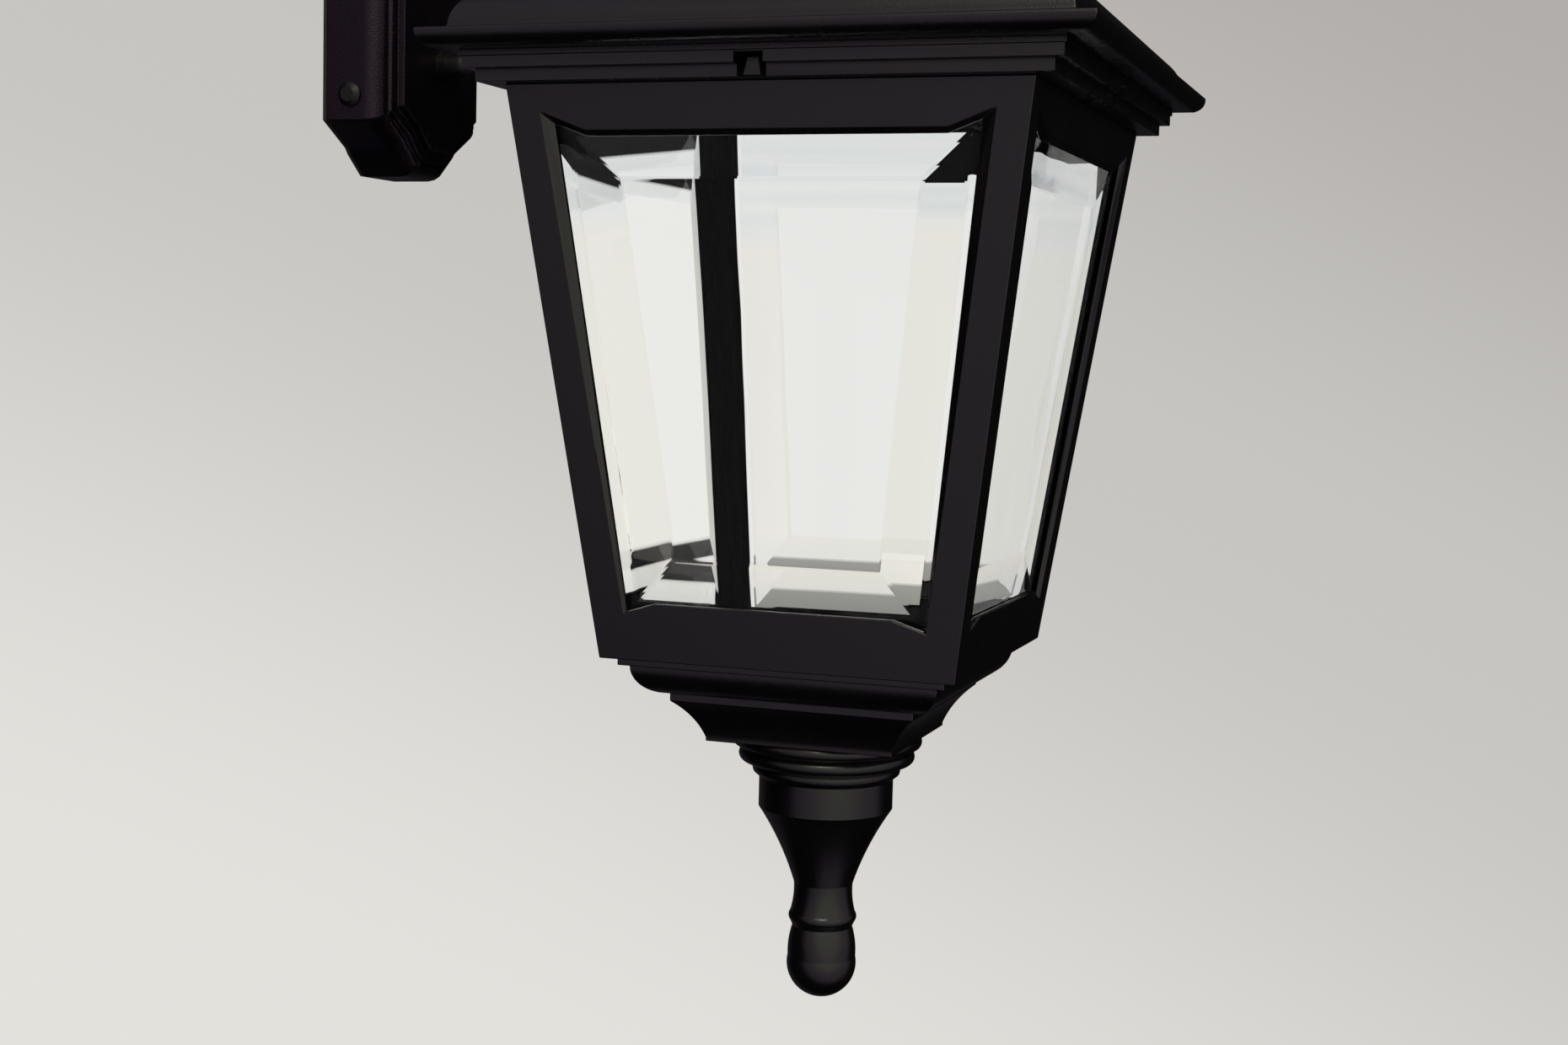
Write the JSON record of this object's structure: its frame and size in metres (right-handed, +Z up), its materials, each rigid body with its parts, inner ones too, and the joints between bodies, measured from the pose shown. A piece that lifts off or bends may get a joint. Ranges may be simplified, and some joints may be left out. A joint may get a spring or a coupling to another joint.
{
  "type": "outdoor wall lantern",
  "caption": "Square tapered wall lantern in black cast aluminium with bevelled glass panes, hung by a crook arm from a stepped wall plate.",
  "frame": {"origin": "on the wall, at the middle of the mounting bracket's back face", "axes": "+X out from the wall towards the lantern, +Y along the wall, +Z up"},
  "size_m": [0.3227, 0.2394, 0.5514],
  "materials": {
    "coat": "fine textured black powder coat on cast aluminium",
    "plate_coat": "sandy black powder coat on cast aluminium",
    "black_fixings": "satin black",
    "zinc": "zinc plated",
    "glass": "clear, bevelled",
    "gasket": "foamed",
    "grommet": "matt",
    "terminal_plastic": "moulded",
    "brass": "drawn",
    "holder": "moulded thermoset"
  },
  "bodies": {
    "root": {"lantern_frame": "coat", "cornice_ring": "coat", "roof": "coat", "base_moulding": "coat", "finial": "coat", "roof_collar": "coat", "arm": "coat", "wall_plate": "plate_coat", "cap_nuts": "black_fixings", "side_screws": "black_fixings", "mounting_bracket": "zinc", "bracket_studs": "zinc", "arm_nut": "zinc", "roof_nut": "zinc", "roof_screws": "zinc", "post_screws": "zinc", "base_bar": "zinc", "finial_bolt": "zinc", "terminal_screws": "zinc", "pane_left": "glass", "pane_front": "glass", "pane_right": "glass", "pane_back": "glass", "plate_gasket": "gasket", "cable_grommet": "grommet", "terminal_block": "terminal_plastic", "earth_screw": "brass", "lamp_shell": "brass", "lamp_contact": "brass", "lampholder": "holder"}
  },
  "joints": []
}
